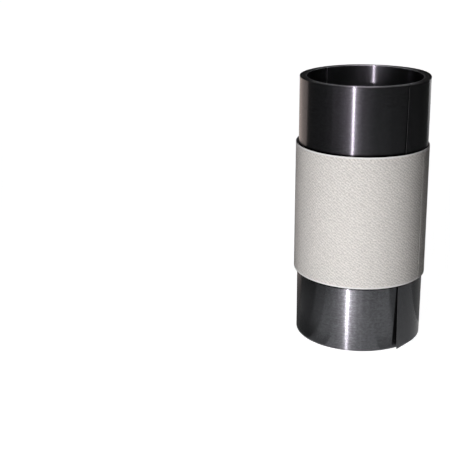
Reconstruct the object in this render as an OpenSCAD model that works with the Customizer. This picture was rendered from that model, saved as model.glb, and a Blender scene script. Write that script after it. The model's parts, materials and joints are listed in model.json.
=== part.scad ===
// Roll of shim stock: thin steel strip wound into an open coil that stands on
// its end, with a paper wrap round its middle. Millimetres, +Z up, origin on
// the bench at the centre of the bore.

/* [Strip] */
// Width of the strip, which is the height of the coil on its end
strip_w = 152.4; // [60:0.1:305]
// Length of strip in the coil
strip_len = 4572; // [1500:1:9000]
// Thickness of the strip
strip_t = 0.178; // [0.12:0.001:0.3]

/* [Coil] */
// Diameter of the open bore
bore_d = 65; // [40:0.5:100]
// Air between one lap and the next
lap_gap = 0.02; // [0.005:0.001:0.05]
// Width of the line that parts two laps on the ends of the coil
lap_line_w = 0.06; // [0.02:0.005:0.07]
// Depth of that line
lap_line_depth = 0.15; // [0.05:0.01:0.5]

/* [Inner end of the strip] */
// Direction of the inner end, turned from +X towards +Y
inner_end_angle = 133; // [0:1:359]
// Length of bore over which the next lap closes in again behind the inner end
inner_step_len = 34; // [20:1:45]

/* [Loose outer lap] */
// Direction of the outer end of the strip on the bench
tail_angle = -54; // [-180:1:180]
// Length of strip at the outer end that has come loose from the coil
loose_len = 88; // [50:1:105]
// Length of the end that springs out straight at the bench, below the wrap
tail_free_len = 12.7; // [6:0.1:18]
// The same at the top of the coil, above the wrap
tail_top_len = 4; // [2:0.1:12]
// How far the cut end leans out of square over the width of the strip
tail_skew = 2.5; // [0:0.1:5]
// How far the loose lap bulges away from the coil at the top
bulge_top = 1.3; // [0.5:0.05:3]
// How far it bulges at the bench
bulge_bench = 0.4; // [0.1:0.05:3]

/* [Paper wrap] */
// Width of the wrap
wrap_w = 76.2; // [30:0.1:140]
// Thickness of the paper
wrap_t = 0.3; // [0.1:0.01:0.6]
// Room inside the wrap that the loose lap springs out into
wrap_slack = 0.6; // [0.3:0.01:1.5]
// How far the slack wrap hangs over to the -X side of the coil
wrap_shift = 0.35; // [0:0.01:1]
// Length of paper that overlaps where the ends are glued
wrap_seam_len = 12; // [5:0.5:25]
// Direction of the free edge of that overlap
wrap_seam_angle = -27; // [-180:1:180]

/* [Hidden] */

steel_tint = [0.36, 0.38, 0.42];
paper_tint = [0.82, 0.80, 0.77];

// Air kept between the tight part of the loose lap and the coil, and between
// the loose lap and the wrap that holds it in
lap_clear = 0.06;
wrap_clear = 0.2;

// The area of the coil's end is the strip's length times one lap and its gap
bore_r = bore_d / 2;
wound_r = sqrt(pow(bore_r, 2) + (strip_len - loose_len) * (strip_t + lap_gap) / PI);
laps = round((wound_r - bore_r) / (strip_t + lap_gap));
lap_pitch = (wound_r - bore_r) / laps;

// Inner and outer faces of the loose lap where it lies tight
lap_in_r = wound_r + lap_clear;
lap_out_r = lap_in_r + strip_t;

wrap_in_r = lap_out_r + wrap_slack + wrap_shift + wrap_clear;
wrap_z0 = (strip_w - wrap_w) / 2;
wrap_z1 = wrap_z0 + wrap_w;

// Rows and columns of the loose lap's surface: rows up the strip, which meet
// the edges of the wrap, and columns along it, closer together at the tail
below_rows = 5;
wrap_rows = 3;
above_rows = 5;
row_z = concat(
    [for (i = [0 : below_rows - 1]) wrap_z0 * i / below_rows],
    [for (i = [0 : wrap_rows - 1]) wrap_z0 + wrap_w * i / wrap_rows],
    [for (i = [0 : above_rows]) wrap_z1 + (strip_w - wrap_z1) * i / above_rows]
);
tail_cols = 7;
lap_cols = 22;
lap_step = (loose_len - tail_free_len) / lap_cols;
col_s = concat(
    [for (i = [0 : tail_cols - 1]) tail_free_len * i / tail_cols],
    [for (i = [0 : lap_cols]) tail_free_len + lap_step * i]
);
rows = len(row_z);
cols = len(col_s);

// The root is the last stretch of the loose lap, in which it dives into the
// coil: its length, its start as measured from the tail, and how far its inner
// and outer faces end below those of the tight part. The bulge runs from
// bulge_s0 to the root
root_len = 2 * lap_step;
root_s = loose_len - root_len;
root_in_drop = lap_clear + 0.65 * strip_t;
root_out_drop = lap_clear + 1.25 * strip_t;
bulge_s0 = 0.36 * loose_len;

function degrees_of(arc) = arc / wound_r * 180 / PI;

// Length of tail that is free at a height, where the wrap holds it in
tail_wrap_len = wound_r * tan(acos(lap_in_r / (lap_in_r + wrap_slack)));
function free_len(z) = lookup(z, [
    [0, tail_free_len], [wrap_z0, tail_wrap_len], [wrap_z1, tail_wrap_len], [strip_w, tail_top_len]
]);
function bulge_of(z) = lookup(z, [
    [0, bulge_bench], [wrap_z0, wrap_slack], [wrap_z1, wrap_slack], [strip_w, bulge_top]
]);

// The free end leaves the coil along a tangent, and the bulge is a smooth wave
function tail_lift(s, z) =
    let (free = free_len(z)) s < free ? lap_in_r * (1 / cos(degrees_of(free - s)) - 1) : 0;
function bulge_lift(s, z) =
    s > bulge_s0 && s < root_s ?
    bulge_of(z) * pow(sin(180 * (s - bulge_s0) / (root_s - bulge_s0)), 2) : 0;
function root_share(s) = max(0, (s - root_s) / root_len);

// Radius of the loose lap's inner and outer face, and the direction of a column
function face_in(s, z) =
    lap_in_r + tail_lift(s, z) + bulge_lift(s, z) - root_share(s) * root_in_drop;
function face_out(s, z) =
    lap_out_r + tail_lift(s, z) + bulge_lift(s, z) - root_share(s) * root_out_drop;
function face_angle(s, z) =
    tail_angle + degrees_of(s + tail_skew * z / strip_w * max(0, 1 - s / root_s));
function polar(r, angle, z) = [r * cos(angle), r * sin(angle), z];

// The wound laps as one turned solid, with a fine line between laps on both ends
module wound_laps() {
    lines = [for (i = [1 : laps - 1]) bore_r + i * lap_pitch];
    half = lap_line_w / 2;
    bench_edge = [for (r = lines) each [[r - half, 0], [r, lap_line_depth], [r + half, 0]]];
    top_edge = [for (i = [len(bench_edge) - 1 : -1 : 0]) [bench_edge[i][0], strip_w - bench_edge[i][1]]];
    rotate_extrude($fn = 180)
        polygon(concat(
            [[bore_r, 0]], bench_edge, [[wound_r, 0], [wound_r, strip_w]], top_edge, [[bore_r, strip_w]]
        ));
}

// The shallow step behind the inner end of the strip, which fades out as the
// next lap closes in on the bore
module inner_step() {
    fade = inner_step_len / bore_r * 180 / PI;
    depth = strip_t - lap_line_w;
    // The cut is the lens between the bore and a circle of the same size set
    // off to one side, kept to a wedge that ends a little past the fade
    past = 12;
    reach = 1.3 * bore_r;
    intersection() {
        rotate(inner_end_angle + fade - 90)
            translate([depth / sin(fade), 0, -1])
                cylinder(r = bore_r, h = strip_w + 2, $fn = 180);
        rotate(inner_end_angle)
            translate([0, 0, -2])
                linear_extrude(strip_w + 4)
                    polygon([
                        [0, 0], [reach, 0],
                        reach * [cos(fade / 2), sin(fade / 2)] * 1.1,
                        reach * [cos(fade + past), sin(fade + past)]
                    ]);
    }
}

// The sprung outer end of the strip, from its cut edge to the root
module loose_lap() {
    inside = [for (z = row_z) for (s = col_s) polar(face_in(s, z), face_angle(s, z), z)];
    outside = [for (z = row_z) for (s = col_s) polar(face_out(s, z), face_angle(s, z), z)];
    count = rows * cols;
    function at(row, col) = row * cols + col;
    // Each list holds the two triangles of every four-cornered patch, clockwise from outside
    inner_faces = [for (i = [0 : rows - 2]) for (j = [0 : cols - 2]) each [
        [at(i, j), at(i, j + 1), at(i + 1, j + 1)],
        [at(i, j), at(i + 1, j + 1), at(i + 1, j)]
    ]];
    outer_faces = [for (face = inner_faces) [face[0] + count, face[2] + count, face[1] + count]];
    bench_edge = [for (j = [0 : cols - 2]) each [
        [at(0, j), at(0, j + 1) + count, at(0, j + 1)],
        [at(0, j), at(0, j) + count, at(0, j + 1) + count]
    ]];
    top_edge = [for (j = [0 : cols - 2]) each [
        [at(rows - 1, j), at(rows - 1, j + 1), at(rows - 1, j + 1) + count],
        [at(rows - 1, j), at(rows - 1, j + 1) + count, at(rows - 1, j) + count]
    ]];
    tail_edge = [for (i = [0 : rows - 2]) each [
        [at(i, 0), at(i + 1, 0), at(i + 1, 0) + count],
        [at(i, 0), at(i + 1, 0) + count, at(i, 0) + count]
    ]];
    root_edge = [for (i = [0 : rows - 2]) each [
        [at(i, cols - 1), at(i + 1, cols - 1) + count, at(i + 1, cols - 1)],
        [at(i, cols - 1), at(i, cols - 1) + count, at(i + 1, cols - 1) + count]
    ]];
    polyhedron(
        points = concat(inside, outside),
        faces = concat(inner_faces, outer_faces, bench_edge, top_edge, tail_edge, root_edge),
        convexity = 4
    );
}

module steel_coil() {
    color(steel_tint)
        union() {
            difference() {
                wound_laps();
                inner_step();
            }
            loose_lap();
        }
}

// The wrap is a plain tube of paper, doubled where its glued ends overlap
module wrap_band() {
    wrap_out_r = wrap_in_r + wrap_t;
    seam_out_r = wrap_out_r + wrap_t;
    seam_deg = wrap_seam_len / wrap_out_r * 180 / PI;
    reach = 2 * seam_out_r;
    color(paper_tint)
        translate([-wrap_shift, 0, wrap_z0])
            linear_extrude(wrap_w)
                difference() {
                    union() {
                        circle(r = wrap_out_r, $fn = 180);
                        intersection() {
                            circle(r = seam_out_r, $fn = 180);
                            rotate(wrap_seam_angle)
                                polygon([
                                    [0, 0], [reach, 0], reach * [cos(seam_deg), sin(seam_deg)]
                                ]);
                        }
                    }
                    circle(r = wrap_in_r, $fn = 180);
                }
}

steel_coil();
wrap_band();
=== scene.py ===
"""Roll of shim stock: a thin steel strip wound into an open coil, with a paper wrap round its middle.

The strip and the wrap are sheets rolled along their own paths and given their thickness afterwards.
All lengths are in metres. Directions round the coil are angles from +X towards +Y.
"""

import json
import math

import bpy
from bpy.props import FloatProperty, FloatVectorProperty, IntProperty, PointerProperty
from mathutils import Matrix, Vector


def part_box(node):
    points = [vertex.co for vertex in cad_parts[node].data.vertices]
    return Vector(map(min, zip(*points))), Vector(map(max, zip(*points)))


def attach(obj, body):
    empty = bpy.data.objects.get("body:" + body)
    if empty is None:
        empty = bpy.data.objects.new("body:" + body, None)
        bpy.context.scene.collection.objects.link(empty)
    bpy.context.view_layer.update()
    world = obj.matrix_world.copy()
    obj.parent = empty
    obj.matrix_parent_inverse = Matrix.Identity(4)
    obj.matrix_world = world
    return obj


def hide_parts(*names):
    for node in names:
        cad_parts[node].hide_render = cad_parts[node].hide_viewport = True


bl_info = {
    "name": "Shim Stock Roll",
    "version": (1, 0, 0),
    "blender": (4, 5, 0),
    "location": "View3D > Sidebar > Shim Stock",
    "description": "Builds a roll of shim stock from one rolled strip and its paper wrap",
    "category": "Add Mesh",
}

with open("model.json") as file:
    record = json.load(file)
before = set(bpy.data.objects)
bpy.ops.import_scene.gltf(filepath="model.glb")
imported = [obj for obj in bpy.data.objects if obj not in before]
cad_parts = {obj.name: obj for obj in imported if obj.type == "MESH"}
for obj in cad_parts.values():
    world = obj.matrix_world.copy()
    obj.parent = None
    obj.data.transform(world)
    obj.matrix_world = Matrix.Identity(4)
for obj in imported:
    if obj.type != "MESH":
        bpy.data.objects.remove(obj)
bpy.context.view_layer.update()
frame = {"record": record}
COIL_LOW, COIL_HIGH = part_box("steel_coil")
WRAP_LOW, WRAP_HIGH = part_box("wrap_band")
BORE = next(mount for mount in frame["record"]["mounts"] if mount["name"] == "bore")

MM = 0.001
STRIP_UV = "strip_map"
# Folds sharper than this keep their edge where the rest is shaded smooth
SHARP_EDGE = math.radians(40)

# Rows of the strip below, behind and above the wrap, as shares of each stretch
ROWS_BELOW = (0, 0.01, 0.1, 0.28, 0.52, 0.76)
ROWS_BEHIND = (0, 0.33, 0.67)
ROWS_ABOVE = (0, 0.24, 0.48, 0.72, 0.9, 0.99, 1)

# Width in metres and power in watts of each soft box's lamps, from the bright core outwards
BORE_LAYERS = ((0.012, 7.2), (0.30, 0.25), (0.73, 0.3), (1.6, 0.3))
FACE_LAYERS = ((0.36, 0.80), (0.62, 0.72), (0.85, 0.72), (1.5, 1.05), (2.2, 0.62))
FOOT_LAYERS = ((0.008, 0.032), (0.023, 0.011), (0.043, 0.014), (0.075, 0.012), (0.13, 0.010))
# Width in metres of the rim lamp, which is a single one
RIM_WIDTH = 0.5
# Size in metres from top to bottom of the soft boxes' lamps
BORE_TALL = 0.012
FACE_TALL = 0.3
LINE_TALL = 0.02
RIM_TALL = 0.3
FOOT_TALL = 0.018
# How far each lamp of a soft box is turned from the one before it, in degrees
FACE_DRIFT = -2.2
FOOT_DRIFT = 1.0
# How much further off each lamp of a soft box stands than the last one, as a share of its distance
LAYER_GAP = 0.006
# Width and height in metres of the lamps that light dull surfaces
PAPER_LAMP = (0.08, 0.16)
BACK_LAMP = (1.6, 1.6)
# Colours of the light of the far lamps and of the low ones near the coil's foot
FAR_TINT = (1.0, 0.89, 0.99)
LOW_TINT = (1.0, 0.95, 0.98)

# How far from the bore's axis the black cloth starts, as shares of the flag gap, at turns in degrees
BLACK_EDGE = (
    (-180, 0.25), (-115, 0.25), (-95, 0.3), (-60, 0.55), (-25, 1), (20, 1.05), (60, 1.3), (180, 1.4))
BLACK_GLOW = 0.03
WARM_TINT = (1, 0.83, 0.76)
BACKDROP_HEIGHT = 1.8
# The cloths next to the coil start under it, and each layer of cloth lies a little above the last one
UNDER_COIL = 0.03
CLOTH_LIFT = 0.3 * MM
# More grey cloths: name, glow, first and last turn in degrees, inner and outer reach in metres, layer
RINGS = (
    ("dark_grey_cloth", 0.22, (-105, -70), (0.055, 0.10), 3),
    ("left_dark_cloth", 0.08, (-180, -51), (UNDER_COIL, 0.055), 3),
    ("left_near_cloth", 0.45, (-51, -30), (UNDER_COIL, 0.05), 3),
    ("right_near_cloth", 0.6, (22, 50), (UNDER_COIL, 0.05), 3),
    ("left_cloth", 0.54, (-70, -60), (0.055, 0.12), 3),
    ("left_front_cloth", 0.70, (-60, -51), (0.055, 0.12), 3),
    ("right_back_cloth", 0.22, (98, 180), (UNDER_COIL, 0.2), 4),
    ("left_back_cloth", 0.10, (-180, -105), (0.055, 0.12), 4),
    ("far_right_cloth", 0.12, (145, 180), (0.2, 0.7), 4),
    ("far_left_cloth", 0.35, (-180, -160), (0.16, 0.8), 4),
)


class CoilSizes(bpy.types.PropertyGroup):
    """Sizes and colours of the wound strip."""

    bore_radius: FloatProperty(
        name="Bore radius", description="Radius of the open bore",
        default=BORE["dims"]["r_mm"] * MM, unit="LENGTH", subtype="DISTANCE")
    outer_radius: FloatProperty(
        name="Outer radius", description="Radius of the coil where the loose lap leaves it",
        default=-COIL_LOW.x, unit="LENGTH", subtype="DISTANCE")
    height: FloatProperty(
        name="Height", description="Height of the coil on its end",
        default=COIL_HIGH.z, unit="LENGTH", subtype="DISTANCE")
    edge_play: FloatProperty(
        name="Edge play", description="How far the laps' edges wander up and down",
        default=0.14 * MM, unit="LENGTH", subtype="DISTANCE")
    thickness: FloatProperty(
        name="Strip thickness", description="Thickness of the strip",
        default=0.178 * MM, unit="LENGTH", subtype="DISTANCE")
    laps: IntProperty(
        name="Whole laps", description="Whole laps between the strip's two ends",
        default=21, min=4, max=40)
    steps_per_lap: IntProperty(
        name="Steps per lap", description="Straight stretches that stand for one lap",
        default=96, min=24, max=180)
    tail_angle: FloatProperty(
        name="Tail angle", description="Direction of the outer end of the strip on the bench",
        default=math.radians(-54), subtype="ANGLE")
    inner_end_angle: FloatProperty(
        name="Inner end angle", description="Direction of the inner end of the strip",
        default=math.radians(133), subtype="ANGLE")
    tail_lean: FloatProperty(
        name="Tail lean", description="How far the cut end leans out of square over the strip's width",
        default=2.5 * MM, unit="LENGTH", subtype="DISTANCE")
    free_at_bench: FloatProperty(
        name="Free end at the bench", description="Length of tail that springs out at the bench",
        default=12.7 * MM, unit="LENGTH", subtype="DISTANCE")
    free_in_wrap: FloatProperty(
        name="Free end in the wrap", description="Length of tail that springs out inside the wrap",
        default=5.6 * MM, unit="LENGTH", subtype="DISTANCE")
    free_at_top: FloatProperty(
        name="Free end at the top", description="Length of tail that springs out at the top",
        default=4.0 * MM, unit="LENGTH", subtype="DISTANCE")
    bulge_at_bench: FloatProperty(
        name="Bulge at the bench", description="How far the outer laps bulge at the bench",
        default=0.4 * MM, unit="LENGTH", subtype="DISTANCE")
    bulge_in_wrap: FloatProperty(
        name="Bulge in the wrap", description="How far the outer laps bulge inside the wrap",
        default=0.4 * MM, unit="LENGTH", subtype="DISTANCE")
    bulge_at_top: FloatProperty(
        name="Bulge at the top", description="How far the outer laps bulge at the top",
        default=1.3 * MM, unit="LENGTH", subtype="DISTANCE")
    bulging_laps: FloatProperty(
        name="Bulging laps", description="How many laps share the bulge", default=5.0, min=1.0, max=10.0)
    bulge_start: FloatProperty(
        name="Bulge start", description="Where the bulge starts, as an angle behind the tail",
        default=math.radians(50), subtype="ANGLE")
    bulge_end: FloatProperty(
        name="Bulge end", description="Where the bulge ends, as an angle behind the tail",
        default=math.radians(127), subtype="ANGLE")
    face_color: FloatVectorProperty(
        name="Strip face", description="Colour of the rolled face of the strip",
        default=(0.084, 0.0865, 0.091), size=3, min=0, max=1, subtype="COLOR")
    oil_color: FloatVectorProperty(
        name="Oiled face", description="Colour of the strip face where its oil film is thicker",
        default=(0.084, 0.078, 0.094), size=3, min=0, max=1, subtype="COLOR")
    edge_color: FloatVectorProperty(
        name="Slit edge", description="Colour of the slit edges of the strip",
        default=(0.15, 0.15, 0.155), size=3, min=0, max=1, subtype="COLOR")
    cut_color: FloatVectorProperty(
        name="Cut end", description="Colour of the sheared ends of the strip",
        default=(0.75, 0.75, 0.76), size=3, min=0, max=1, subtype="COLOR")


class WrapSizes(bpy.types.PropertyGroup):
    """Sizes and colours of the paper wrap."""

    bottom: FloatProperty(
        name="Lower edge", description="Height of the wrap's lower edge",
        default=WRAP_LOW.z + 0.8 * MM, unit="LENGTH", subtype="DISTANCE")
    top: FloatProperty(
        name="Upper edge", description="Height of the wrap's upper edge",
        default=WRAP_HIGH.z + 0.6 * MM, unit="LENGTH", subtype="DISTANCE")
    radius_at_bottom: FloatProperty(
        name="Radius below", description="Outer radius of the wrap at its lower edge",
        default=38.24 * MM, unit="LENGTH", subtype="DISTANCE")
    radius_at_top: FloatProperty(
        name="Radius above", description="Outer radius of the wrap at its upper edge",
        default=37.85 * MM, unit="LENGTH", subtype="DISTANCE")
    shift: FloatProperty(
        name="Shift", description="How far the slack wrap hangs over to the -X side",
        default=0.34 * MM, unit="LENGTH", subtype="DISTANCE")
    thickness: FloatProperty(
        name="Paper thickness", description="Thickness of the paper",
        default=0.18 * MM, unit="LENGTH", subtype="DISTANCE")
    seam_angle: FloatProperty(
        name="Seam angle", description="Direction of the free edge of the glued overlap",
        default=math.radians(-27), subtype="ANGLE")
    seam_length: FloatProperty(
        name="Seam length", description="Length of paper that overlaps",
        default=12 * MM, unit="LENGTH", subtype="DISTANCE")
    lean: FloatProperty(
        name="Lean", description="How much higher the wrap sits on its -X side than in the middle",
        default=0.25 * MM, unit="LENGTH", subtype="DISTANCE")
    seam_drop: FloatProperty(
        name="Seam drop", description="How much lower the outer layer's upper edge lies in the overlap",
        default=0.7 * MM, unit="LENGTH", subtype="DISTANCE")
    weave_pitch: FloatProperty(
        name="Weave pitch", description="Distance from one pressed-in thread to the next",
        default=1.45 * MM, unit="LENGTH", subtype="DISTANCE")
    paper_color: FloatVectorProperty(
        name="Paper", description="Colour of the paper's face",
        default=(0.80, 0.765, 0.735), size=3, min=0, max=1, subtype="COLOR")
    # The paler colour along the paper's long edges, and its width below, are a painted highlight
    edge_color: FloatVectorProperty(
        name="Paper edge", description="Colour of the worn long edges of the paper",
        default=(0.93, 0.91, 0.90), size=3, min=0, max=1, subtype="COLOR")
    edge_width: FloatProperty(
        name="Edge width", description="Width of the worn band along each long edge",
        default=0.9 * MM, unit="LENGTH", subtype="DISTANCE")


class StageSizes(bpy.types.PropertyGroup):
    """Floor, lamps and camera."""

    floor_color: FloatVectorProperty(
        name="Floor", description="Colour of the floor and backdrop",
        default=(0.75, 0.75, 0.75), size=3, min=0, max=1, subtype="COLOR")
    camera_place: FloatVectorProperty(
        name="Camera", description="Where the camera stands",
        default=(0.0, -0.58138, 0.25774), size=3, unit="LENGTH", subtype="TRANSLATION")
    camera_down: FloatProperty(
        name="Camera down", description="How far the camera looks down",
        default=math.radians(18.51), subtype="ANGLE")
    camera_left: FloatProperty(
        name="Camera left", description="How far the camera is turned to the left",
        default=math.radians(7.84), subtype="ANGLE")
    camera_roll: FloatProperty(
        name="Camera roll", description="How far the camera is turned about its own line of sight",
        default=math.radians(-0.58), subtype="ANGLE")
    lens: FloatProperty(
        name="Lens", description="Focal length in millimetres for a 36 mm wide picture",
        default=82.888, min=10, max=300)
    floor_glow: FloatProperty(
        name="Floor glow", description="How much of its own white the floor shows",
        default=0.92, min=0, max=1)
    fill: FloatProperty(
        name="Fill", description="Strength of the even light from all round", default=0.03, min=0, max=1)
    lamp_side: FloatProperty(
        name="Lamp side", description="How far the far lamps stand to the left of the camera",
        default=math.radians(16.9), subtype="ANGLE")
    bore_turn: FloatProperty(
        name="Bore lamp turn", description="How much further to the left the bore lamp stands",
        default=math.radians(0.5), subtype="ANGLE")
    low_side: FloatProperty(
        name="Low lamp side", description="How far the low lamps stand to the left of the camera",
        default=math.radians(14.9), subtype="ANGLE")
    paper_light: FloatProperty(
        name="Paper light", description="Power in watts of the lamp that lights dull surfaces alone",
        default=0.63, min=0, max=20)
    back_light: FloatProperty(
        name="Back light", description="Power in watts of the lamp that lights the coil's far side",
        default=16.0, min=0, max=60)
    lamp_reach: FloatProperty(
        name="Lamp distance", description="Distance of the bore, face and line lamps from the coil",
        default=1.2, unit="LENGTH", subtype="DISTANCE")
    lamp_height: FloatProperty(
        name="Bore lamp height", description="Height of the lamp that draws the bright line in the bore",
        default=0.338, unit="LENGTH", subtype="DISTANCE")
    face_height: FloatProperty(
        name="Face lamp height", description="Height of the lamp that draws the glow down the outside",
        default=0.25, unit="LENGTH", subtype="DISTANCE")
    line_height: FloatProperty(
        name="Line lamp height", description="Height of the lamp that draws the line down the outside",
        default=0.02, unit="LENGTH", subtype="DISTANCE")
    line_width: FloatProperty(
        name="Line lamp width", description="Width of that lamp",
        default=0.006, unit="LENGTH", subtype="DISTANCE")
    line_light: FloatProperty(
        name="Line light", description="Power in watts of that lamp", default=1.5, min=0, max=20)
    rim_reach: FloatProperty(
        name="Rim lamp distance", description="Distance in front of the axis of the lamp above the coil",
        default=0.1, unit="LENGTH", subtype="DISTANCE")
    rim_height: FloatProperty(
        name="Rim lamp height", description="Height of the lamp above the coil",
        default=1.0, unit="LENGTH", subtype="DISTANCE")
    rim_light: FloatProperty(
        name="Rim light", description="Power in watts of that lamp", default=6.0, min=0, max=60)
    paper_side: FloatProperty(
        name="Paper lamp side", description="How far the paper lamp stands to the left of the camera",
        default=math.radians(13.5), subtype="ANGLE")
    paper_reach: FloatProperty(
        name="Paper lamp distance", description="Distance of the paper lamp from the coil",
        default=0.30, unit="LENGTH", subtype="DISTANCE")
    paper_height: FloatProperty(
        name="Paper lamp height", description="Height of the paper lamp",
        default=0.085, unit="LENGTH", subtype="DISTANCE")
    back_reach: FloatProperty(
        name="Back lamp distance", description="Distance from the coil of the lamp behind it",
        default=2.4, unit="LENGTH", subtype="DISTANCE")
    back_height: FloatProperty(
        name="Back lamp height", description="Height of the lamp behind the coil",
        default=0.72, unit="LENGTH", subtype="DISTANCE")
    low_reach: FloatProperty(
        name="Low lamp distance", description="Distance of the low lamps from the coil",
        default=0.11, unit="LENGTH", subtype="DISTANCE")
    low_height: FloatProperty(
        name="Low lamp height", description="Height of the low lamps' middle",
        default=0.006, unit="LENGTH", subtype="DISTANCE")
    flag_gap: FloatProperty(
        name="Flag gap", description="How far from the bore's axis the black cloth on the floor starts",
        default=0.16, unit="LENGTH", subtype="DISTANCE")
    flag_reach: FloatProperty(
        name="Flag distance", description="How far out the black cloth stands up",
        default=2.5, unit="LENGTH", subtype="DISTANCE")


def select_only(piece):
    """Makes one object the only selected and the active one."""
    bpy.ops.object.select_all(action="DESELECT")
    piece.select_set(True)
    bpy.context.view_layer.objects.active = piece


def apply_modifier(piece, kind, **settings):
    """Adds a modifier, sets it and applies it."""
    select_only(piece)
    modifier = piece.modifiers.new(kind.title(), kind)
    for name, value in settings.items():
        setattr(modifier, name, value)
    bpy.ops.object.modifier_apply(modifier=modifier.name)


def blend_heights(height, stops):
    """Value at a height, in straight stretches between (height, value) stops."""
    low = stops[0]
    for high in stops[1:]:
        if height <= high[0]:
            share = (height - low[0]) / (high[0] - low[0])
            return low[1] + share * (high[1] - low[1])
        low = high
    return low[1]


def rolled_sheet(name, heights, columns, place):
    """A sheet of square patches, each corner put where place(column, height) says.

    Its UV map runs across the sheet with U and along it with V, both in metres."""
    bpy.ops.object.select_all(action="DESELECT")
    rows = len(heights) - 1
    bpy.ops.mesh.primitive_grid_add(x_subdivisions=rows, y_subdivisions=columns, size=1, calc_uvs=True)
    sheet = bpy.context.object
    sheet.name = name
    sheet.data.name = name
    sheet.data.uv_layers[0].name = STRIP_UV
    layer = sheet.data.uv_layers[STRIP_UV].data
    spots = []
    for corner in sheet.data.vertices:
        row = round((corner.co.x + 0.5) * rows)
        column = round((corner.co.y + 0.5) * columns)
        point, along = place(column, heights[row])
        spots.append((heights[row], along))
        corner.co = point
    for loop in sheet.data.loops:
        layer[loop.index].uv = spots[loop.vertex_index]
    sheet.data.update()
    return sheet


def face_outwards(sheet):
    """Turns a rolled sheet's faces round if they look at the axis."""
    middle = sheet.data.polygons[len(sheet.data.polygons) // 2]
    outward = Vector((middle.center.x, middle.center.y, 0))
    if middle.normal.dot(outward) < 0:
        sheet.data.flip_normals()


class StripPath:
    """The path of the strip from its outer end, the tail, to its inner end."""

    # How much more of the tail is free at the wrap's lower edge than at its upper one
    flare = 1.0 * MM

    def __init__(self, sizes):
        self.sizes = sizes
        turns = sizes.laps + (sizes.inner_end_angle - sizes.tail_angle) / math.tau
        self.columns = round(turns * sizes.steps_per_lap)
        self.step = turns * math.tau / self.columns
        # Half a lap before its inner end the strip's inner face lies at the bore's radius
        self.lap_pitch = (sizes.outer_radius - sizes.bore_radius) / (turns - 0.5)
        self.wrap_low = WRAP_LOW.z
        self.wrap_high = WRAP_HIGH.z

    def free_angle(self, height):
        """How much of the tail is free at a height, as an angle."""
        sizes = self.sizes
        length = blend_heights(height, (
            (0, sizes.free_at_bench), (self.wrap_low, sizes.free_in_wrap + self.flare),
            (self.wrap_high, sizes.free_in_wrap), (sizes.height, sizes.free_at_top)))
        return length / sizes.outer_radius

    def bulge(self, height, turned):
        """How far the strip stands off its lap at an angle behind the tail."""
        sizes = self.sizes
        here = turned % math.tau
        share = 1 - turned / math.tau / sizes.bulging_laps
        if share <= 0 or not sizes.bulge_start < here < sizes.bulge_end:
            return 0.0
        peak = blend_heights(height, (
            (0, sizes.bulge_at_bench), (self.wrap_low, sizes.bulge_in_wrap),
            (self.wrap_high, sizes.bulge_in_wrap), (sizes.height, sizes.bulge_at_top)))
        wave = math.sin(math.pi * (here - sizes.bulge_start) / (sizes.bulge_end - sizes.bulge_start))
        # The bulge fades from the outermost lap inwards
        return peak * wave ** 2 * share ** 1.5

    def place(self, column, height):
        """Point in the middle of the strip's thickness, and the distance along the strip."""
        sizes = self.sizes
        turned = column * self.step
        tail_radius = sizes.outer_radius + 0.5 * sizes.thickness
        radius = tail_radius - self.lap_pitch * turned / math.tau
        free = self.free_angle(height)
        if turned < free:
            radius += tail_radius * (1 / math.cos(free - turned) - 1)
        radius += self.bulge(height, turned)
        lean = sizes.tail_lean * height / sizes.height / sizes.outer_radius
        angle = sizes.tail_angle + turned + lean * max(0.0, 1 - turned / sizes.bulge_end)
        # Two slow waves, along the strip and round the coil, that add up to between 0 and 1
        wander = 0.5 + 0.28 * math.sin(1.7 * turned / math.tau) + 0.22 * math.sin(0.9 * turned + 0.4)
        lift = sizes.edge_play * wander * (sizes.height - sizes.edge_play) / sizes.height
        squeezed = height * (1 - sizes.edge_play / sizes.height)
        point = Vector((radius * math.cos(angle), radius * math.sin(angle), squeezed + lift))
        return point, turned * radius


def new_group(name, inputs, output):
    """An empty shader group with named inputs, each with its socket type, and one value as output."""
    group = bpy.data.node_groups.new(name, "ShaderNodeTree")
    for label, kind in inputs:
        group.interface.new_socket(label, in_out="INPUT", socket_type=kind)
    group.interface.new_socket(output, in_out="OUTPUT", socket_type="NodeSocketFloat")
    return group, group.nodes.new("NodeGroupInput"), group.nodes.new("NodeGroupOutput")


def new_material(name):
    """A material with nodes, and its shader."""
    material = bpy.data.materials.new(name)
    material.use_nodes = True
    return material, material.node_tree.nodes["Principled BSDF"]


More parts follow.
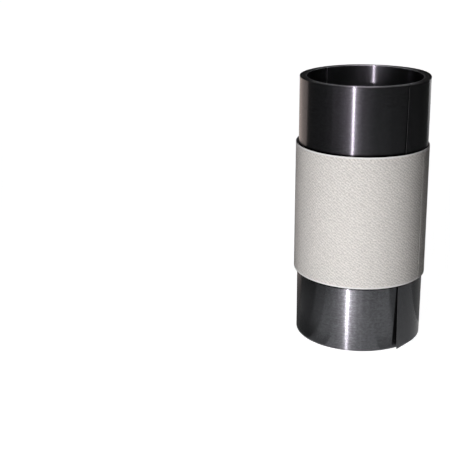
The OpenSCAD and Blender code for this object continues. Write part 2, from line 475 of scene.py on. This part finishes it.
def marks_group():
    """Marks from 0 to 1 that are drawn out one way, each Width by Length on the sheet's own map."""
    if "drawn_marks" in bpy.data.node_groups:
        return bpy.data.node_groups["drawn_marks"]
    group, given, result = new_group("drawn_marks", (
        ("Map", "NodeSocketVector"), ("Width", "NodeSocketFloat"), ("Length", "NodeSocketFloat"),
        ("Contrast", "NodeSocketFloat")), "Marks")
    nodes = group.nodes
    links = group.links
    cell = nodes.new("ShaderNodeCombineXYZ")
    cell.inputs["Z"].default_value = 1.0
    links.new(given.outputs["Width"], cell.inputs["X"])
    links.new(given.outputs["Length"], cell.inputs["Y"])
    spot = nodes.new("ShaderNodeVectorMath")
    spot.operation = "DIVIDE"
    links.new(given.outputs["Map"], spot.inputs[0])
    links.new(cell.outputs["Vector"], spot.inputs[1])
    noise = nodes.new("ShaderNodeTexNoise")
    noise.noise_dimensions = "2D"
    noise.inputs["Scale"].default_value = 1.0
    noise.inputs["Detail"].default_value = 3.0
    noise.inputs["Roughness"].default_value = 0.6
    links.new(spot.outputs["Vector"], noise.inputs["Vector"])
    centred = nodes.new("ShaderNodeMath")
    centred.operation = "SUBTRACT"
    centred.inputs[1].default_value = 0.5
    links.new(noise.outputs["Fac"], centred.inputs[0])
    spread = nodes.new("ShaderNodeMath")
    spread.operation = "MULTIPLY_ADD"
    spread.use_clamp = True
    spread.inputs[2].default_value = 0.5
    links.new(centred.outputs["Value"], spread.inputs[0])
    links.new(given.outputs["Contrast"], spread.inputs[1])
    links.new(spread.outputs["Value"], result.inputs["Marks"])
    return group


def sheet_map(material):
    """The place on the sheet that wears a material, across it and along it."""
    spot = material.node_tree.nodes.new("ShaderNodeUVMap")
    spot.uv_map = STRIP_UV
    return spot.outputs["UV"]


def add_marks(material, width, length, contrast):
    """Places drawn marks in a material and gives their value."""
    spot = sheet_map(material)
    marks = material.node_tree.nodes.new("ShaderNodeGroup")
    marks.node_tree = marks_group()
    marks.inputs["Width"].default_value = width
    marks.inputs["Length"].default_value = length
    marks.inputs["Contrast"].default_value = contrast
    material.node_tree.links.new(spot, marks.inputs["Map"])
    return marks.outputs["Marks"]


def to_range(material, value, low, high):
    """Spreads a value from 0 to 1 over a range."""
    nodes = material.node_tree.nodes
    spread = nodes.new("ShaderNodeMapRange")
    spread.inputs["To Min"].default_value = low
    spread.inputs["To Max"].default_value = high
    material.node_tree.links.new(value, spread.inputs["Value"])
    return spread.outputs["Result"]


def mix_colors(material, share, low, high):
    """Colour between two colours; the share and the colours may be numbers or other nodes' outputs."""
    links = material.node_tree.links
    mix = material.node_tree.nodes.new("ShaderNodeMix")
    mix.data_type = "RGBA"
    if isinstance(share, bpy.types.NodeSocket):
        links.new(share, mix.inputs["Factor"])
    else:
        mix.inputs["Factor"].default_value = share
    for label, color in (("A", low), ("B", high)):
        socket = next(entry for entry in mix.inputs if entry.name == label and entry.type == "RGBA")
        if isinstance(color, bpy.types.NodeSocket):
            links.new(color, socket)
        else:
            socket.default_value = (*color, 1)
    return next(entry for entry in mix.outputs if entry.type == "RGBA")


def shade_of(color, factor):
    """A colour made darker or paler."""
    return [min(1.0, factor * part) for part in color]


def mix_shades(material, share, color, low, high):
    """Colour between a darker and a paler shade of one colour."""
    return mix_colors(material, share, shade_of(color, low), shade_of(color, high))


def add_bump(material, height, distance, under=None):
    """Bumps up to a distance high, on top of other bumps where they are given."""
    bump = material.node_tree.nodes.new("ShaderNodeBump")
    bump.inputs["Distance"].default_value = distance
    material.node_tree.links.new(height, bump.inputs["Height"])
    if under is not None:
        material.node_tree.links.new(under, bump.inputs["Normal"])
    return bump.outputs["Normal"]


def border_group():
    """0 within Start of Middle, rising to 1 at End and beyond it."""
    if "border" in bpy.data.node_groups:
        return bpy.data.node_groups["border"]
    group, given, result = new_group("border", (
        ("Place", "NodeSocketFloat"), ("Middle", "NodeSocketFloat"), ("Start", "NodeSocketFloat"),
        ("End", "NodeSocketFloat")), "Border")
    nodes = group.nodes
    links = group.links
    off_middle = nodes.new("ShaderNodeMath")
    off_middle.operation = "SUBTRACT"
    links.new(given.outputs["Place"], off_middle.inputs[0])
    links.new(given.outputs["Middle"], off_middle.inputs[1])
    away = nodes.new("ShaderNodeMath")
    away.operation = "ABSOLUTE"
    links.new(off_middle.outputs["Value"], away.inputs[0])
    rise = nodes.new("ShaderNodeMapRange")
    links.new(away.outputs["Value"], rise.inputs["Value"])
    links.new(given.outputs["Start"], rise.inputs["From Min"])
    links.new(given.outputs["End"], rise.inputs["From Max"])
    links.new(rise.outputs["Result"], result.inputs["Border"])
    return group


def add_border(material, axis, middle, start, end):
    """Places a border in a material, across (X) or along (Y) its sheet, and gives its value."""
    nodes = material.node_tree.nodes
    links = material.node_tree.links
    spot = sheet_map(material)
    place = nodes.new("ShaderNodeSeparateXYZ")
    links.new(spot, place.inputs["Vector"])
    border = nodes.new("ShaderNodeGroup")
    border.node_tree = border_group()
    border.inputs["Middle"].default_value = middle
    border.inputs["Start"].default_value = start
    border.inputs["End"].default_value = end
    links.new(place.outputs[axis], border.inputs["Place"])
    return border.outputs["Border"]


def face_material(sizes, wrap):
    """Material of the strip's rolled faces, under a wrap."""
    face, shader = new_material("rolled_steel")
    links = face.node_tree.links
    shader.inputs["Metallic"].default_value = 0.93
    shader.inputs["Anisotropic"].default_value = 1.0
    tangent = face.node_tree.nodes.new("ShaderNodeTangent")
    tangent.direction_type = "UV_MAP"
    tangent.uv_map = STRIP_UV
    links.new(tangent.outputs["Tangent"], shader.inputs["Tangent"])
    rolling_lines = add_marks(face, width=0.6 * MM, length=9 * MM, contrast=3.0)
    mill_grain = add_marks(face, width=1.1 * MM, length=1.6 * MM, contrast=3.6)
    oil_patches = add_marks(face, width=6 * MM, length=11 * MM, contrast=2.4)
    tinted = mix_colors(face, oil_patches, sizes.oil_color, shade_of(sizes.face_color, 1.06))
    lined = mix_shades(face, rolling_lines, sizes.face_color, 0.68, 1.32)
    grained = mix_shades(face, mill_grain, sizes.face_color, 0.71, 1.29)
    rolled = mix_colors(face, 0.2, mix_colors(face, 0.6, lined, grained), tinted)
    # Little light gets behind the wrap, so the strip's colour is painted dark there and about 1 mm past
    # its edges, a painted shadow of the wrap
    middle = 0.5 * (wrap.bottom + wrap.top) - 0.3 * MM
    covered = 0.5 * (wrap.top - wrap.bottom)
    outside_painted_shadow = add_border(face, "X", middle, covered + 0.9 * MM, covered + 1.4 * MM)
    colored = mix_colors(face, outside_painted_shadow, shade_of(sizes.face_color, 0.1), rolled)
    links.new(colored, shader.inputs["Base Color"])
    links.new(to_range(face, oil_patches, 0.246, 0.252), shader.inputs["Roughness"])
    links.new(add_bump(face, rolling_lines, 0.00006 * MM), shader.inputs["Normal"])
    return face


def edge_material(sizes, length):
    """Material of the slit edges and the sheared ends of a strip of a length."""
    edge, shader = new_material("slit_edge")
    links = edge.node_tree.links
    shader.inputs["Anisotropic"].default_value = 1.0
    shader.inputs["Anisotropic Rotation"].default_value = 0.25
    around = edge.node_tree.nodes.new("ShaderNodeTangent")
    around.direction_type = "RADIAL"
    around.axis = "Z"
    links.new(around.outputs["Tangent"], shader.inputs["Tangent"])
    burr = add_marks(edge, width=2 * MM, length=6 * MM, contrast=3.0)
    slit = mix_shades(edge, burr, sizes.edge_color, 0.45, 1.7)
    # The slit edges are painted dark in the outer laps, a painted shade, and pale in the innermost ones,
    # a painted highlight
    inner_laps = add_border(edge, "Y", 0.0, 0.1 * length, 0.45 * length)
    outer_laps_shaded = mix_colors(edge, inner_laps, shade_of(sizes.edge_color, 0.15), slit)
    innermost = add_border(edge, "Y", 0.0, 0.78 * length, 0.95 * length)
    light_painted = mix_colors(edge, innermost, outer_laps_shaded, shade_of(sizes.edge_color, 3.4))
    # Both ends of the strip are sheared, and the outer one is painted darker than the inner one, a
    # painted shade
    inner_half = add_border(edge, "Y", 0.0, 0.4 * length, 0.6 * length)
    sheared = mix_colors(edge, inner_half, shade_of(sizes.cut_color, 0.14), sizes.cut_color)
    ends = add_border(edge, "Y", 0.5 * length, 0.5 * length - 0.05 * MM, 0.5 * length - 0.02 * MM)
    links.new(mix_colors(edge, ends, light_painted, sheared), shader.inputs["Base Color"])
    links.new(to_range(edge, ends, 1.0, 0.4), shader.inputs["Metallic"])
    links.new(to_range(edge, burr, 0.42, 0.6), shader.inputs["Roughness"])
    return edge


class SHIM_OT_coil(bpy.types.Operator):
    """Rolls the steel strip into the coil."""

    bl_idname = "shim_roll.coil"
    bl_label = "Coil"

    def execute(self, context):
        sizes = context.scene.coil_sizes
        path = StripPath(sizes)
        heights = [share * WRAP_LOW.z for share in ROWS_BELOW]
        heights += [WRAP_LOW.z + share * (WRAP_HIGH.z - WRAP_LOW.z) for share in ROWS_BEHIND]
        heights += [WRAP_HIGH.z + share * (sizes.height - WRAP_HIGH.z) for share in ROWS_ABOVE]
        strip = rolled_sheet("rolled_strip", heights, path.columns, path.place)
        face_outwards(strip)
        length = max(spot.uv.y for spot in strip.data.uv_layers[STRIP_UV].data)
        strip.data.materials.append(face_material(sizes, context.scene.wrap_sizes))
        strip.data.materials.append(edge_material(sizes, length))
        apply_modifier(strip, "SOLIDIFY", thickness=sizes.thickness, offset=0.0, material_offset_rim=1)
        select_only(strip)
        bpy.ops.object.shade_smooth_by_angle(angle=SHARP_EDGE)
        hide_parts("steel_coil")
        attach(strip, "root")
        return {"FINISHED"}


def add_threads(material, turn, pitch):
    """Waves over the paper like pressed-in threads, that run at an angle to the wrap's edges."""
    nodes = material.node_tree.nodes
    links = material.node_tree.links
    spot = sheet_map(material)
    turned = nodes.new("ShaderNodeMapping")
    turned.inputs["Rotation"].default_value = (0, 0, turn)
    links.new(spot, turned.inputs["Vector"])
    wave = nodes.new("ShaderNodeTexWave")
    # At scale 1 this texture repeats every tau / 20
    wave.inputs["Scale"].default_value = math.tau / 20 / pitch
    wave.inputs["Distortion"].default_value = 7.0
    wave.inputs["Detail"].default_value = 2.0
    wave.inputs["Detail Scale"].default_value = 2.2
    links.new(turned.outputs["Vector"], wave.inputs["Vector"])
    return wave.outputs["Fac"]


def paper_material(sizes, length):
    """Material of the wrap's paper, for a sheet of a length: thread marks, fibres, a painted highlight
    along the long edges and painted shade at the free end.
    """
    paper, shader = new_material("wrap_paper")
    links = paper.node_tree.links
    shader.inputs["Specular IOR Level"].default_value = 0.05
    warp = add_threads(paper, math.radians(35), sizes.weave_pitch)
    weft = add_threads(paper, math.radians(-42), 1.15 * sizes.weave_pitch)
    fibres = add_marks(paper, width=0.5 * MM, length=0.9 * MM, contrast=2.4)
    threads = [mix_shades(paper, wave, sizes.paper_color, 0.66, 1.18) for wave in (warp, weft)]
    woven = mix_colors(paper, 0.3, *threads)
    fibred = mix_shades(paper, fibres, sizes.paper_color, 0.82, 1.18)
    faced = mix_colors(paper, 0.35, woven, fibred)
    middle = 0.5 * (sizes.bottom + sizes.top)
    reach = 0.5 * (sizes.top - sizes.bottom)
    # The long edges are painted paler, a painted highlight
    light_painted = add_border(paper, "X", middle, reach - 1.2 * sizes.edge_width, reach - 0.8 * sizes.edge_width)
    edged = mix_colors(paper, light_painted, faced, sizes.edge_color)
    # The free end is painted darker, a painted shade that keeps its cut from showing bright
    painted_shade_at_end = add_border(paper, "Y", 0.0, length - 0.15 * MM, length - 0.03 * MM)
    colored = mix_colors(paper, painted_shade_at_end, edged, shade_of(sizes.paper_color, 0.4))
    links.new(colored, shader.inputs["Base Color"])
    links.new(to_range(paper, fibres, 0.68, 0.85), shader.inputs["Roughness"])
    pressed = add_bump(paper, weft, 0.04 * MM, add_bump(paper, warp, 0.08 * MM))
    links.new(add_bump(paper, fibres, 0.02 * MM, pressed), shader.inputs["Normal"])
    return paper


class WrapPath:
    """The path of the paper from the end that is covered to the free edge on top of it."""

    rows = 24
    columns = 240
    # Turn over which the paper climbs onto its covered end, and how far, as a share of its thickness
    ramp = math.radians(7)
    climb = 1.1

    def __init__(self, sizes):
        self.sizes = sizes
        self.overlap = sizes.seam_length / sizes.radius_at_bottom
        self.whole = math.tau + self.overlap

    def place(self, column, height):
        """Point in the middle of the paper, and the distance along it."""
        sizes = self.sizes
        turned = self.whole * column / self.columns
        share = (height - sizes.bottom) / (sizes.top - sizes.bottom)
        radius = sizes.radius_at_bottom + share * (sizes.radius_at_top - sizes.radius_at_bottom)
        radius -= 0.5 * sizes.thickness
        past_ramp = (turned - (math.tau - self.ramp)) / self.ramp
        cover = min(1.0, max(0.0, past_ramp))
        radius += self.climb * sizes.thickness * cover * cover * (3 - 2 * cover)
        height -= sizes.seam_drop * share * min(1.0, turned / self.whole)
        angle = sizes.seam_angle + self.overlap - turned
        height -= sizes.lean * math.cos(angle)
        point = Vector((radius * math.cos(angle) - sizes.shift, radius * math.sin(angle), height))
        return point, turned * sizes.radius_at_bottom


class SHIM_OT_wrap(bpy.types.Operator):
    """Rolls the paper wrap round the coil."""

    bl_idname = "shim_roll.wrap"
    bl_label = "Paper wrap"

    def execute(self, context):
        sizes = context.scene.wrap_sizes
        path = WrapPath(sizes)
        rows = path.rows
        heights = [sizes.bottom + row / rows * (sizes.top - sizes.bottom) for row in range(rows + 1)]
        wrap = rolled_sheet("paper_wrap", heights, path.columns, path.place)
        face_outwards(wrap)
        length = max(spot.uv.y for spot in wrap.data.uv_layers[STRIP_UV].data)
        wrap.data.materials.append(paper_material(sizes, length))
        apply_modifier(wrap, "SOLIDIFY", thickness=sizes.thickness, offset=0.0)
        select_only(wrap)
        bpy.ops.object.shade_smooth_by_angle(angle=SHARP_EDGE)
        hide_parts("wrap_band")
        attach(wrap, "root")
        return {"FINISHED"}


def seen_by_eye_or_gloss(nodes, links):
    """1 for rays from the camera, from gloss and through glass, and 0 for diffuse light."""
    path = nodes.new("ShaderNodeLightPath")
    gloss = nodes.new("ShaderNodeMath")
    gloss.operation = "MAXIMUM"
    links.new(path.outputs["Is Camera Ray"], gloss.inputs[0])
    links.new(path.outputs["Is Glossy Ray"], gloss.inputs[1])
    seen = nodes.new("ShaderNodeMath")
    seen.operation = "MAXIMUM"
    links.new(gloss.outputs["Value"], seen.inputs[0])
    links.new(path.outputs["Is Transmission Ray"], seen.inputs[1])
    return seen.outputs["Value"]


def floor_material(sizes):
    """Plain pale floor, which keeps the shadow and shows part of its white by itself."""
    pale, shader = new_material("pale_floor")
    nodes = pale.node_tree.nodes
    links = pale.node_tree.links
    shader.inputs["Roughness"].default_value = 0.9
    shader.inputs["Specular IOR Level"].default_value = 0.0
    shader.inputs["Base Color"].default_value = (*sizes.floor_color, 1)
    shader.inputs["Emission Color"].default_value = (1, 1, 1, 1)
    glow = nodes.new("ShaderNodeMath")
    glow.operation = "MULTIPLY"
    glow.inputs[1].default_value = sizes.floor_glow
    links.new(seen_by_eye_or_gloss(nodes, links), glow.inputs[0])
    links.new(glow.outputs["Value"], shader.inputs["Emission Strength"])
    return pale


def cloth_material(name, glow, tint):
    """Dull dark cloth, which also glows with a light of its own."""
    cloth, shader = new_material(name)
    shader.inputs["Roughness"].default_value = 1.0
    shader.inputs["Specular IOR Level"].default_value = 0.0
    shader.inputs["Base Color"].default_value = (0.10, 0.10, 0.10, 1)
    shader.inputs["Emission Color"].default_value = (*tint, 1)
    shader.inputs["Emission Strength"].default_value = glow
    return cloth


def set_world(context, sizes):
    """White all round to the eye and in gloss, and a weak even fill as light."""
    world = context.scene.world or bpy.data.worlds.new("studio")
    context.scene.world = world
    world.use_nodes = True
    nodes = world.node_tree.nodes
    links = world.node_tree.links
    nodes["Background"].inputs["Color"].default_value = (1, 1, 1, 1)
    strength = nodes.new("ShaderNodeMapRange")
    strength.inputs["To Min"].default_value = sizes.fill
    strength.inputs["To Max"].default_value = 1.0
    links.new(seen_by_eye_or_gloss(nodes, links), strength.inputs["Value"])
    links.new(strength.outputs["Result"], nodes["Background"].inputs["Strength"])


def to_the_left(angle):
    """Level direction from the coil to the camera, turned to the left by an angle."""
    return Vector((-math.sin(angle), -math.cos(angle), 0))


def add_lamp(name, place, aim, size, power, tint=(1, 1, 1)):
    """An area lamp at a place, turned towards a point."""
    bpy.ops.object.select_all(action="DESELECT")
    bpy.ops.object.light_add(type="AREA", location=place)
    lamp = bpy.context.object
    lamp.name = name
    lamp.data.shape = "RECTANGLE"
    lamp.data.size = size[0]
    lamp.data.size_y = size[1]
    lamp.data.energy = power
    lamp.data.color = tint
    lamp.rotation_euler = (Vector(aim) - Vector(place)).to_track_quat("-Z", "Y").to_euler()
    lamp.visible_camera = False
    return lamp


def add_soft_box(name, layers, place, drift, height, tall, aim, tint=FAR_TINT):
    """Lamps one behind the other, each wider and fainter, that only show as gloss on the steel.

    Each is turned by drift, in degrees, from the one before it."""
    for layer, (width, power) in enumerate(layers):
        further = Matrix.Rotation(math.radians(drift * layer), 3, "Z")
        spot = further @ place * (1 + LAYER_GAP * layer) + Vector((0, 0, height))
        lamp = add_lamp(name, spot, aim, (width, tall), power, tint)
        lamp.visible_diffuse = False


def lay_cloth(name, glow, turns, reaches, layer, tint=(1, 1, 1)):
    """A cloth on the floor round the coil that only shows in gloss, so the floor stays pale to the eye.

    It goes from the first to the last of the turns, in degrees from the front towards +X. reaches gives,
    for a turn, how far from the bore's axis and how high each of its edges lies."""
    first, last = turns
    columns = 64

    def place(column, edge):
        turn = first + (last - first) * column / columns
        reach, rise = reaches(turn)[edge]
        turn = math.radians(turn)
        point = Vector((reach * math.sin(turn), -reach * math.cos(turn), rise + layer * CLOTH_LIFT))
        return point, turn * reach

    cloth = rolled_sheet(name, range(len(reaches(first))), columns, place)
    cloth.data.materials.append(cloth_material(name, glow, tint))
    cloth.visible_camera = False
    cloth.visible_diffuse = False
    cloth.visible_shadow = False
    return cloth


def add_cloths(sizes):
    """Black cloth far off, which stands up at its end, and grey and warm cloths nearer by."""
    far = sizes.flag_reach

    def black_edge(turn):
        return sizes.flag_gap * blend_heights(turn, BLACK_EDGE)

    def black(turn):
        return (black_edge(turn), 0), (far, 0)

    def backdrop(turn):
        return (far, 0.001), (far, BACKDROP_HEIGHT)

    def grey(turn):
        return (UNDER_COIL, 0), (black_edge(turn), 0)

    def ring(inner, outer):
        return lambda turn: ((inner, 0), (outer, 0))

    cloths = [
        lay_cloth("black_cloth", BLACK_GLOW, (-116, 145), black, 1),
        lay_cloth("black_backdrop", BLACK_GLOW, (-180, 180), backdrop, 1),
        lay_cloth("grey_cloth", 0.48, (50, 98), grey, 2),
    ]
    # Dull surfaces see the first one too, so the floor throws little light up at the paper
    cloths[0].visible_diffuse = True
    for name, glow, turns, reaches, layer in RINGS:
        cloths.append(lay_cloth(name, glow, turns, ring(*reaches), layer))
    # The warm cloth glows so that the steel shows a warm reflection towards the left
    cloths.append(lay_cloth("warm_cloth", 0.9, (-160, -116), ring(0.12, far), 2, WARM_TINT))
    return cloths


class SHIM_OT_stage(bpy.types.Operator):
    """Sets up the floor, the lamps and the camera."""

    bl_idname = "shim_roll.stage"
    bl_label = "Stage"

    def execute(self, context):
        sizes = context.scene.stage_sizes
        bpy.ops.object.select_all(action="DESELECT")
        bpy.ops.mesh.primitive_plane_add(size=8)
        floor = bpy.context.object
        floor.name = "floor"
        floor.data.materials.append(floor_material(sizes))
        add_cloths(sizes)
        set_world(context, sizes)
        self.add_lamps(sizes)
        self.add_camera(context, sizes)
        context.scene.view_settings.view_transform = "Standard"
        return {"FINISHED"}

    def add_lamps(self, sizes):
        """Lamps that only show as gloss on the steel, and lamps that only light dull surfaces."""
        middle = Vector((0, 0, 0.5 * COIL_HIGH.z))
        foot = Vector((0, 0, 0.02))
        side = to_the_left(sizes.lamp_side)
        far = side * sizes.lamp_reach
        bore_far = Matrix.Rotation(-sizes.bore_turn, 3, "Z") @ far
        above = side * sizes.rim_reach
        low = to_the_left(sizes.low_side) * sizes.low_reach
        line_layer = ((sizes.line_width, sizes.line_light),)
        rim_layer = ((RIM_WIDTH, sizes.rim_light),)
        add_soft_box("bore_lamp", BORE_LAYERS, bore_far, 0.0, sizes.lamp_height, BORE_TALL, middle)
        add_soft_box("face_lamp", FACE_LAYERS, far, FACE_DRIFT, sizes.face_height, FACE_TALL, middle)
        add_soft_box("line_lamp", line_layer, far, 0.0, sizes.line_height, LINE_TALL, middle)
        add_soft_box("rim_lamp", rim_layer, above, 0.0, sizes.rim_height, RIM_TALL, middle)
        near = to_the_left(sizes.paper_side) * sizes.paper_reach + Vector((0, 0, sizes.paper_height))
        behind = -side * sizes.back_reach + Vector((0, 0, sizes.back_height))
        paper_lamp = add_lamp("paper_lamp", near, middle, PAPER_LAMP, sizes.paper_light)
        back_lamp = add_lamp("back_lamp", behind, middle, BACK_LAMP, sizes.back_light)
        for lamp in (paper_lamp, back_lamp):
            lamp.visible_glossy = False
        add_soft_box(
            "foot_lamp", FOOT_LAYERS, low, FOOT_DRIFT, sizes.low_height, FOOT_TALL, foot, LOW_TINT)

    def add_camera(self, context, sizes):
        """The camera that stands where the photo was taken from."""
        bpy.ops.object.camera_add(location=sizes.camera_place)
        camera = context.object
        look = (Matrix.Rotation(sizes.camera_left, 3, "Z")
                @ Matrix.Rotation(math.pi / 2 - sizes.camera_down, 3, "X")
                @ Matrix.Rotation(sizes.camera_roll, 3, "Z"))
        camera.rotation_euler = look.to_euler()
        camera.data.lens = sizes.lens
        camera.data.clip_start = 0.01
        context.scene.camera = camera


class SHIM_PT_panel(bpy.types.Panel):
    """Lists the steps and sizes of the roll."""

    bl_idname = "SHIM_PT_panel"
    bl_label = "Shim Stock Roll"
    bl_space_type = "VIEW_3D"
    bl_region_type = "UI"
    bl_category = "Shim Stock"

    def draw(self, context):
        layout = self.layout
        for operator, group in STEPS:
            layout.operator(operator.bl_idname)
            settings = getattr(context.scene, group)
            for name in settings.__annotations__:
                layout.prop(settings, name)


STEPS = (
    (SHIM_OT_coil, "coil_sizes"),
    (SHIM_OT_wrap, "wrap_sizes"),
    (SHIM_OT_stage, "stage_sizes"),
)
CLASSES = (CoilSizes, WrapSizes, StageSizes, SHIM_OT_coil, SHIM_OT_wrap, SHIM_OT_stage, SHIM_PT_panel)


def register():
    """Registers the classes and hangs the sizes on the scene."""
    for cls in CLASSES:
        bpy.utils.register_class(cls)
    bpy.types.Scene.coil_sizes = PointerProperty(type=CoilSizes)
    bpy.types.Scene.wrap_sizes = PointerProperty(type=WrapSizes)
    bpy.types.Scene.stage_sizes = PointerProperty(type=StageSizes)


def unregister():
    """Takes away what register added."""
    del bpy.types.Scene.stage_sizes
    del bpy.types.Scene.wrap_sizes
    del bpy.types.Scene.coil_sizes
    for cls in reversed(CLASSES):
        bpy.utils.unregister_class(cls)


def main():
    """Builds the roll and its stage."""
    register()
    bpy.ops.shim_roll.coil()
    bpy.ops.shim_roll.wrap()
    bpy.ops.shim_roll.stage()


if __name__ == "__main__":
    main()
